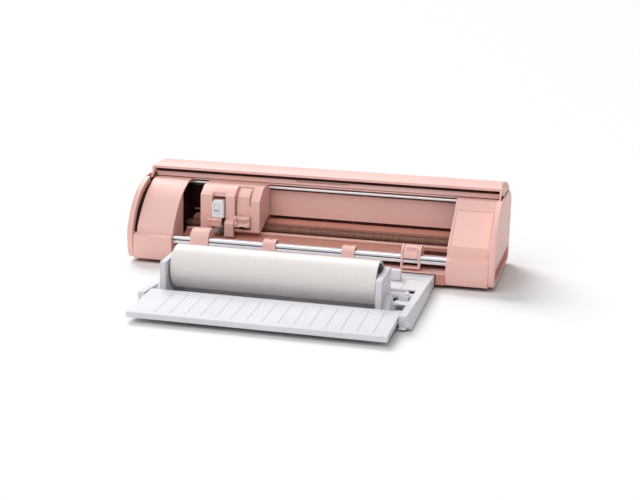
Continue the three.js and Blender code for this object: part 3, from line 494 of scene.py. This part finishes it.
class Piece:
    """Closed shells gathered into one mesh."""

    def __init__(self):
        self.mesh = bmesh.new()

    def shell(self, rings, closed_ends=True):
        """Joins rings of points, one after another, into a closed shell."""
        rows = [[self.mesh.verts.new(place(*point)) for point in ring] for ring in rings]
        pairs = list(zip(rows, rows[1:]))
        if not closed_ends:
            pairs.append((rows[-1], rows[0]))
        for first, second in pairs:
            for i, corner in enumerate(first):
                after = (i + 1) % len(first)
                self.mesh.faces.new((corner, first[after], second[after], second[i]))
        if closed_ends:
            self.mesh.faces.new(rows[0])
            self.mesh.faces.new(reversed(rows[-1]))

    def block(self, x, y, z):
        """A box, from its range on each axis."""
        corners = ((x[0], y[0]), (x[1], y[0]), (x[1], y[1]), (x[0], y[1]))
        self.shell([[(*corner, height) for corner in corners] for height in z])

    def prism(self, outline, xs):
        """A (y, z) outline drawn out along X."""
        self.shell([[(x, y, z) for y, z in outline] for x in xs])

    def circle(self, centre, radius, axis, offset, sides):
        """Points of a circle round an axis, moved along it."""
        points = []
        for i in range(sides):
            angle = 2 * math.pi * i / sides
            u, v = radius * math.cos(angle), radius * math.sin(angle)
            step = {"X": (offset, u, v), "Y": (u, offset, v), "Z": (u, v, offset)}[axis]
            points.append(tuple(c + s for c, s in zip(centre, step)))
        return points

    def disc(self, centre, radius, axis, start, end, dome=0.0, sides=28):
        """A round disc; a dome rises further along the axis and narrows by as much."""
        rings = [self.circle(centre, radius, axis, offset, sides) for offset in (start, end)]
        if dome:
            rings.append(self.circle(centre, radius - abs(dome), axis, end + dome, sides))
        self.shell(rings)

    def ring(self, centre, outer, inner, axis, start, end, sides=40):
        """A flat-sided ring, from its two radii and its range along the axis."""
        corners = ((outer, start), (outer, end), (inner, end), (inner, start))
        rings = [self.circle(centre, radius, axis, offset, sides) for radius, offset in corners]
        self.shell(rings, closed_ends=False)

    def done(self, name, body, slot, material, rounding=0):
        """Makes the object, rounds its edges by that many millimetres and fixes it to its body."""
        bmesh.ops.recalc_face_normals(self.mesh, faces=self.mesh.faces)
        data = bpy.data.meshes.new(name)
        self.mesh.to_mesh(data)
        self.mesh.free()
        thing = bpy.data.objects.new(name, data)
        bpy.context.scene.collection.objects.link(thing)
        paint(thing, material)
        if rounding:
            soften(thing, rounding * MM)
        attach(thing, body)


# ---- fine pieces: casing -------------------------------------------------------------------------

# The (y, z) of the line that the lid turns about. The radii and angles of the painted shade in the lid's
# track are about it.
LID_AXIS = (95, 24)
TRACK_X = (-275.7, -271.8)
TRACK_SHADE = (89, 91)
TRACK_ARC = (-6, 74)
TRACK_STEPS = 18
LIP_HALF = 270

# The parking wall's width, and the y and z ranges of its parts.
PARKING_X = (-218.6, -186)
PARKING_PANEL = ((113.6, 114.7), (69, 106))
PARKING_RIB = ((112.6, 113.8), (70, 105))
PARKING_CROSS_RIB = ((112.8, 113.8), (86, 88))
PARKING_STRIP = ((112.2, 113.2), (66, 116.6))
PARKING_STRIP_X = (-219.1, -213.4)
RIB_START = -212
RIB_PITCH = 8
RIB_WIDTH = 1.4

GRIP_X = (280.0, 280.5)
GRIP_Y = (9.6, 189.4)
GRIP_Z = (11.6, 31.4)
HOOK_X = (279.5, 282.1)

REAR_SCREW_X = (-262, -120, 120, 262)
REAR_SCREW_Z = (46, 94)
SCREW_RADIUS = 3.4
CROSS_REACH = 2
CROSS_HALF_WIDTH = 0.35

EXIT_HALF = 170
EXIT_BARS = ((37.6, 39.4), (24.4, 26.2))
EXIT_POST = 2.8
EXIT_POST_Z = (25.4, 38.6)
# How far the bezel's rims stand off the inlet and the switch at the sides.
BEZEL_GAPS = {"power_inlet": 2.0, "power_switch": 2.3}
# The rims' bars, measured up and down from the middle, and their posts.
BEZEL_BAR = (6.2, 8.2)
BEZEL_POST = 1.7
BEZEL_POST_HALF = 7.2
PIN_PITCH = 5
PIN_LIFT = 0.6

BASE_RIB_X = (-262, -232, -202, 216, 240, 262)
BASE_RIB_Y = (124, 142, 188)
BASE_RIB_Z = (4.3, 5.7)
BASE_RIB_HALF = 0.8
BASE_RIB_LENGTH = (48, 160)
BASE_SCREW_X = (-250, -204, 0, 222, 250)
BASE_SCREW_PLACE = (152, 5.5)


def add_track_shade():
    """Dark strip on the floor of the lid's track beside the left cover: painted shade in the track."""
    inner, outer = TRACK_SHADE
    top, foot = TRACK_ARC
    outside = arc(LID_AXIS, outer, foot, top, TRACK_STEPS)
    inside = arc(LID_AXIS, inner, top, foot, TRACK_STEPS)
    lining = Piece()
    lining.prism(outside + inside, TRACK_X)
    lining.done("track_painted_shade", "chassis", "dark", shade_felt)


def add_lip_shade():
    """Dark strip along the lip of the top shell: painted shade of the gap under the lip."""
    lip_shade_strip = Piece()
    lip_shade_strip.block(x=about(0, LIP_HALF), y=(101.0, 102.2), z=(128.4, 131.6))
    lip_shade_strip.done("lip_painted_shade", "chassis", "dark", shade_felt, rounding=0.2)


def add_parking_wall():
    """Ribbed dark wall behind the place where the carriage parks, with a cross rib and an edge strip; its
    dark colour is painted shadow in that deep corner.
    """
    wall = Piece()
    wall.block(PARKING_X, *PARKING_PANEL)
    for x in range(RIB_START, PARKING_X[1], RIB_PITCH):
        wall.block((x, x + RIB_WIDTH), *PARKING_RIB)
    wall.block(PARKING_X, *PARKING_CROSS_RIB)
    wall.block(PARKING_STRIP_X, *PARKING_STRIP)
    wall.done("parking_shade_wall", "chassis", "dark", shadow_brown, rounding=0.2)


def add_grip_shade():
    """Brown plates in the hand grips: painted shade in the grip recesses."""
    grips = Piece()
    for side in (-1, 1):
        grips.block(mirrored(side, *GRIP_X), GRIP_Y, GRIP_Z)
    grips.done("grip_painted_shade", "chassis", "pink_deep", grip_shade_and_band_brown, rounding=0.1)


def add_hook_seats():
    """Dark strips in the seats of the top shell's hooks, about 1 mm thick."""
    underside = [(78, 111.6), (90, 112.9), (112, 119.8)]
    top = [(112, 120.8), (90, 114), (78, 112.6)]
    seats = Piece()
    for side in (-1, 1):
        seats.prism(underside + top, mirrored(side, *HOOK_X))
    seats.done("hook_seats", "chassis", "dark", shade_felt)


def add_rear_screws():
    """Screws of the rear cover. One bar of each cross is a little lower, so their faces don't coincide."""
    high, low = (BODY_DEPTH + 1.0, BODY_DEPTH + 1.36), (BODY_DEPTH + 1.0, BODY_DEPTH + 1.34)
    # The crosses are dark bars on the screw heads: painted shade of the cross recesses.
    screws, slots = Piece(), Piece()
    for x in REAR_SCREW_X:
        for z in REAR_SCREW_Z:
            screws.disc((x, BODY_DEPTH, z), SCREW_RADIUS, "Y", start=-0.1, end=0.7, dome=0.6)
            slots.block(about(x, CROSS_REACH), high, about(z, CROSS_HALF_WIDTH))
            slots.block(about(x, CROSS_HALF_WIDTH), low, about(z, CROSS_REACH))
    screws.done("rear_screws", "chassis", "steel", bright_steel)
    slots.done("rear_screw_slots", "chassis", "dark", shade_felt)


def add_exit_frame():
    """Raised frame round the media exit."""
    raised = (BODY_DEPTH, BODY_DEPTH + 1.2)
    trim = Piece()
    for bar in EXIT_BARS:
        trim.block(about(0, EXIT_HALF), raised, bar)
    for side in (-1, 1):
        trim.block(mirrored(side, EXIT_HALF - EXIT_POST, EXIT_HALF), raised, EXIT_POST_Z)
    trim.done("exit_frame", "chassis", "pink", pink, rounding=0.4)


def add_rating_plate():
    """A plate without text."""
    rating = Piece()
    rating.block(x=(120, 176), y=(BODY_DEPTH, BODY_DEPTH + 0.25), z=(52, 80))
    rating.done("blank_rating_plate", "chassis", "silver", steel, rounding=0.1)


def add_inlet_bezel():
    """Raised rims round the power inlet and the power switch."""
    raised = (BODY_DEPTH, BODY_DEPTH + 1.0)
    bezel = Piece()
    for name, gap in BEZEL_GAPS.items():
        x, _, z = middle(name)
        half = half_size(name)[0] + gap
        for side in (1, -1):
            bezel.block(about(x, half), raised, mirrored(side, *BEZEL_BAR, z))
        for side in (-1, 1):
            posts = mirrored(side, half - BEZEL_POST, half, x)
            bezel.block(posts, raised, about(z, BEZEL_POST_HALF))
    bezel.done("inlet_bezel", "chassis", "black_plastic", black, rounding=0.2)


def add_inlet_pins():
    """Three flat pins, the middle one a little higher."""
    x, y, z = middle("power_inlet")
    pins = Piece()
    for step, lift in ((-PIN_PITCH, -PIN_LIFT), (0, PIN_LIFT), (PIN_PITCH, -PIN_LIFT)):
        pins.block(x=about(x + step, 0.9), y=about(y, 3.8), z=about(z + lift, 2.2))
    pins.done("inlet_pins", "chassis", "steel", bright_steel, rounding=0.2)


def add_base_ribs():
    """Stiffening ribs below the base, kept clear of the tray's channel."""
    ribs = Piece()
    for x in BASE_RIB_X:
        ribs.block(about(x, BASE_RIB_HALF), BASE_RIB_LENGTH, BASE_RIB_Z)
    for y in BASE_RIB_Y:
        ribs.block((BASE_RIB_X[0], BASE_RIB_X[-1]), about(y, BASE_RIB_HALF), BASE_RIB_Z)
    ribs.done("base_ribs", "chassis", "pink_deep", pink_deep, rounding=0.2)


def add_base_screws():
    """Screws in the base, with their heads below it."""
    screws = Piece()
    for x in BASE_SCREW_X:
        screws.disc((x, *BASE_SCREW_PLACE), 3.6, "Z", start=0.1, end=-0.8, dome=-0.5)
    screws.done("base_screws", "chassis", "steel", bright_steel)


def add_casing_details():
    add_track_shade()
    add_lip_shade()
    add_parking_wall()
    add_grip_shade()
    add_hook_seats()
    add_rear_screws()
    add_exit_frame()
    add_rating_plate()
    add_inlet_bezel()
    add_inlet_pins()
    add_base_ribs()
    add_base_screws()


# ---- fine pieces: paper path and pinch housings --------------------------------------------------

ROLLER = middle("grit_roller")[1:]
ROLLER_RADIUS = half_size("grit_roller")[2]
BANDS_EACH_WAY = 10
BAND_PITCH = 20.5
BAND_HALF = 0.2
CLIP_SCREW_Y = 16.8
# The (y, z) of each ridge on the lever.
LEVER_RIDGES = ((9.2, 52.4), (11.4, 54.2), (13.8, 55.5))
RIDGE_INSET = 2.4


def add_roller_bands():
    """Plain bands between the gritted stretches of the roller."""
    bands = Piece()
    for i in range(-BANDS_EACH_WAY, BANDS_EACH_WAY + 1):
        centre = (i * BAND_PITCH, *ROLLER)
        bands.ring(centre, ROLLER_RADIUS + 0.04, ROLLER_RADIUS - 0.3, "X", -BAND_HALF, BAND_HALF)
    bands.done("roller_bands", "grit_roller", "dark", grip_shade_and_band_brown)


def add_bar_groove():
    """Darker strip on the floor of the groove along the pinch bar: painted shade in the groove."""
    x, _, z = middle("pinch_bar")
    front = box("pinch_bar")[0][1]
    length = about(x, half_size("pinch_bar")[0] - 0.2)
    groove = Piece()
    groove.block(x=length, y=(front + 1.2, front + 1.7), z=about(z, 0.6))
    groove.done("bar_groove", "chassis", "silver", groove_shade_grey)


def add_clip_screws():
    """Countersunk screws that hold the two bar clips."""
    screws = Piece()
    for clip in ("left_bar_clip", "right_bar_clip"):
        head = (middle(clip)[0], CLIP_SCREW_Y, box(clip)[1][2])
        screws.disc(head, 2.1, "Z", start=-0.1, end=0.25, dome=0.25, sides=20)
    screws.done("clip_screws", "chassis", "steel", bright_steel)


def add_lever_ridges():
    """Finger ridges across the sloped end of the pinch lever."""
    across = about(middle("pinch_lever")[0], half_size("pinch_lever")[0] - RIDGE_INSET)
    ridges = Piece()
    for y, z in LEVER_RIDGES:
        ridges.block(x=across, y=about(y, 0.5), z=(z - 0.4, z + 0.7))
    ridges.done("lever_ridges", "pinch_lever", "pink", pink, rounding=0.3)


def add_path_details():
    add_roller_bands()
    add_bar_groove()
    add_clip_screws()
    add_lever_ridges()


# ---- fine pieces: carriage and tools -------------------------------------------------------------

CLAMP_1_X = middle("tool_clamp_1")[0]
CLAMP_2_X = middle("tool_clamp_2")[0]
TOOL_X = middle("cutting_tool")[0]
TOOL_FACE = box("cutting_tool")[0][1]
BARREL_EYE = (TOOL_X - 2.6, 48.2, 49.4)
# The middle lines of the window's rim, half the rim's width and how far its bars cross at the corners.
WINDOW_X = (-160.0, -149.6)
WINDOW_Z = (84.2, 92.4)
RIM_HALF = 0.4
RIM_CROSSING = 0.2


def add_clamp_1_grips():
    """Ears and finger ridges on the front of clamp 1."""
    grips = Piece()
    for side in (-1, 1):
        grips.block(x=mirrored(side, 7.5, 11.3, CLAMP_1_X), y=(42.4, 46.6), z=(64.6, 70.6))
    for z in (57.4, 60.0, 62.6):
        grips.block(x=about(CLAMP_1_X, 7.7), y=(44.5, 46.4), z=about(z, 0.5))
    grips.done("clamp_1_grips", "clamp_1", "pink", pink, rounding=0.7)


def add_clamp_2_cheeks():
    """Raised cheeks with a finger dish between them."""
    profile = [(46.8, 57.6), (46.2, 62), (48.4, 66), (45.8, 71.4), (48, 74.6), (54, 74.6), (54, 57.6)]
    cheeks = Piece()
    for side in (-1, 1):
        cheeks.prism(profile, mirrored(side, 8.6, 12.2, CLAMP_2_X))
    cheeks.done("clamp_2_cheeks", "clamp_2", "pink", pink, rounding=0.8)


def add_clamp_2_arch():
    """Small dark arch below the cheeks."""
    half = [(5.6, 55.2), (4.6, 56.9), (2.4, 57.9)]
    outline = [(-x, z) for x, z in half] + [(0, 58.2)] + half[::-1]
    arch = Piece()
    arch.shell([[(CLAMP_2_X + x, y, z) for x, z in outline] for y in (48.6, 50.6)])
    arch.done("clamp_2_arch", "clamp_2", "dark", shade_felt, rounding=0.1)


def add_tool_window():
    """Raised rim of a shallow window on the front of the cutting tool."""
    raised = (TOOL_FACE - 0.5, TOOL_FACE + 0.4)
    across = (WINDOW_X[0] - RIM_CROSSING, WINDOW_X[1] + RIM_CROSSING)
    upright = (WINDOW_Z[0] - RIM_CROSSING, WINDOW_Z[1] + RIM_CROSSING)
    window = Piece()
    for z in WINDOW_Z:
        window.block(across, raised, about(z, RIM_HALF))
    for x in WINDOW_X:
        window.block(about(x, RIM_HALF), raised, upright)
    window.done("tool_window", "tool_1", "white", white_smooth, rounding=0.2)


def add_tool_marks():
    """A plain bar and three dots below the window; no lettering."""
    marks = Piece()
    marks.block(x=(-160.6, -150.6), y=(TOOL_FACE - 0.1, TOOL_FACE + 0.2), z=(80.2, 81.3))
    for x in (-158.6, -154.6, -150.2):
        marks.disc((x, TOOL_FACE, 77), 0.55, "Y", start=0.2, end=-0.1, sides=12)
    marks.done("tool_marks", "tool_1", "black_plastic", black)


def add_barrel():
    """Pale collar and viewing ring of the geared tool barrel."""
    foot = (*middle("tool_gear")[:2], 0)
    collar = Piece()
    collar.ring(foot, outer=7.5, inner=5.3, axis="Z", start=54.0, end=56.4)
    collar.ring(BARREL_EYE, outer=2.9, inner=1.5, axis="Y", start=-0.9, end=0.7, sides=24)
    collar.done("barrel_collar", "tool_1", "white", white_smooth, rounding=0.25)
    eye = Piece()
    eye.disc(BARREL_EYE, 1.6, "Y", start=0.6, end=-0.3, sides=20)
    eye.done("barrel_eye", "tool_1", "dark", shade_felt)


def add_carriage_details():
    add_clamp_1_grips()
    add_clamp_2_cheeks()
    add_clamp_2_arch()
    add_tool_window()
    add_tool_marks()
    add_barrel()


# ---- fine pieces: roll feeder --------------------------------------------------------------------

ROLL = middle("vinyl_roll")
ROLL_HALF, _, ROLL_RADIUS = half_size("vinyl_roll")
CORE_RADIUS = ROLL_RADIUS - 3
FILM_END = (104, 170)
FILM_STEPS = 12

# The (y, z) of the open flap's upper face, at its hinge and at its front.
FLAP_BACK = (-207.4, 22)
FLAP_FRONT = (-300, 14.6)
FLAP_LINES = 15
LINE_PITCH = 21
LINE_MIDDLE = 19.5
LINE_Y = (-219, -292)
LINE_HALF = 0.4

HOLDER_CHEEK = -148.7
HOLDER_MIDDLE = -190


def add_film_end():
    """The film's loose end, a thin step low on the front of the roll."""
    start, end = FILM_END
    outer = arc(ROLL[1:], ROLL_RADIUS + 0.12, start, end, FILM_STEPS)
    inner = arc(ROLL[1:], ROLL_RADIUS - 0.1, end, start, FILM_STEPS)
    edge = Piece()
    edge.prism(outer + inner, about(0, ROLL_HALF - 0.3))
    edge.done("film_end", "vinyl_roll", "vinyl", vinyl)


def add_wound_layers():
    """Two grey rings on each end of the roll."""
    layers = Piece()
    for side in (-1, 1):
        for radius in (CORE_RADIUS + 1, CORE_RADIUS + 2):
            start, end = mirrored(side, ROLL_HALF - 0.4, ROLL_HALF + 0.12)
            layers.ring(ROLL, radius + 0.28, radius - 0.28, "X", start, end, sides=56)
    layers.done("wound_layers", "vinyl_roll", "vinyl", line_grey)


def add_card_core():
    """Grey lining of the roll's bore."""
    start, end = about(0, ROLL_HALF - 0.5)
    core = Piece()
    core.ring(ROLL, CORE_RADIUS + 0.1, CORE_RADIUS - 0.6, "X", start, end, sides=48)
    core.done("card_core", "vinyl_roll", "vinyl", line_grey)


def flap_height(y):
    """Height of the open flap's upper face at that depth."""
    share = (y - FLAP_BACK[0]) / (FLAP_FRONT[0] - FLAP_BACK[0])
    return FLAP_BACK[1] + share * (FLAP_FRONT[1] - FLAP_BACK[1])


def add_flap_lines():
    """Thin grey strips in the flap's grooves."""
    top = [(y, flap_height(y) + 0.14) for y in LINE_Y]
    underside = [(y, flap_height(y) - 0.4) for y in reversed(LINE_Y)]
    lines = Piece()
    for i in range(FLAP_LINES):
        x = (i - FLAP_LINES // 2) * LINE_PITCH + LINE_MIDDLE
        lines.prism(top + underside, about(x, LINE_HALF))
    lines.done("flap_lines", "flap", "silver", line_grey)


def add_holder_ribs():
    """Ribs and dark holes on the inner cheek of the left roll holder."""
    ribs = Piece()
    for y in (HOLDER_MIDDLE - 2.6, HOLDER_MIDDLE + 2.6):
        ribs.block(x=(HOLDER_CHEEK, HOLDER_CHEEK + 1.3), y=about(y, 0.8), z=(14, 54))
    for z in (20, 30, 42):
        ribs.block(x=(HOLDER_CHEEK, HOLDER_CHEEK + 1.1), y=(-192, -187.6), z=about(z, 0.7))
    ribs.done("left_holder_ribs", "tray", "white", white, rounding=0.25)
    # The holes are dark discs on the cheek: painted shade of holes.
    holes = Piece()
    for z in (25, 36):
        holes.disc((HOLDER_CHEEK + 0.1, HOLDER_MIDDLE, z), 1.6, "X", start=-0.1, end=0.25, sides=18)
    holes.done("left_holder_holes", "tray", "dark", shade_felt)


def add_rod_brackets():
    """Brackets of the tray's cross rod, and stop blocks in the open part of the tray."""
    brackets = Piece()
    for x in (-160, 174):
        brackets.block(x=(x, x + 5), y=(-114.5, -102), z=(9.5, 20.4))
    brackets.block(x=(167, 181), y=(-124.4, -121.6), z=(12, 19.4))
    brackets.block(x=(168, 187), y=(-150, -146), z=(5.8, 13))
    brackets.done("rod_brackets", "tray", "white", white, rounding=0.5)


def add_tray_windows():
    """Dark plates where a wall and the floor of the tray's open part have openings: painted shade of the
    openings.
    """
    windows = Piece()
    windows.block(x=(176, 185.4), y=(-98.3, -97.9), z=(13.8, 20))
    windows.block(x=(158.5, 164), y=(-131, -124.6), z=(12.9, 13.3))
    windows.done("tray_windows", "tray", "dark", shade_felt)


def add_guide_slot():
    """Dark strip on the floor of the slot that the edge guide slides in: painted shade in the slot."""
    slot = Piece()
    slot.block(x=(-149.5, 187.5), y=(-37.3, -35.7), z=(19.1, 19.5))
    slot.done("guide_slot_painted_shade", "tray", "dark", shade_felt)


def add_tray_pads():
    """Rubber pads below the front corners of the tray."""
    pads = Piece()
    for x in (-171, 192.4):
        pads.disc((x, -193, 0), 3.8, "Z", start=0.05, end=0.6, sides=24)
    pads.done("tray_foot_pads", "tray", "rubber", rubber)


def add_beam_cheek():
    """Rounded cheek on the front end of the tray's right beam."""
    crown = arc((-213, 2.2), radius=15.2, start=78, end=20, steps=8)
    nose = Piece()
    nose.prism([(-229.6, 3.4)] + crown + [(-209, 3.4)], (187.8, 197))
    nose.done("beam_cheek", "tray", "white", white, rounding=0.3)


def add_feeder_details():
    add_film_end()
    add_wound_layers()
    add_card_core()
    add_flap_lines()
    add_holder_ribs()
    add_rod_brackets()
    add_tray_windows()
    add_guide_slot()
    add_tray_pads()
    add_beam_cheek()


add_casing_details()
add_path_details()
add_carriage_details()
add_feeder_details()
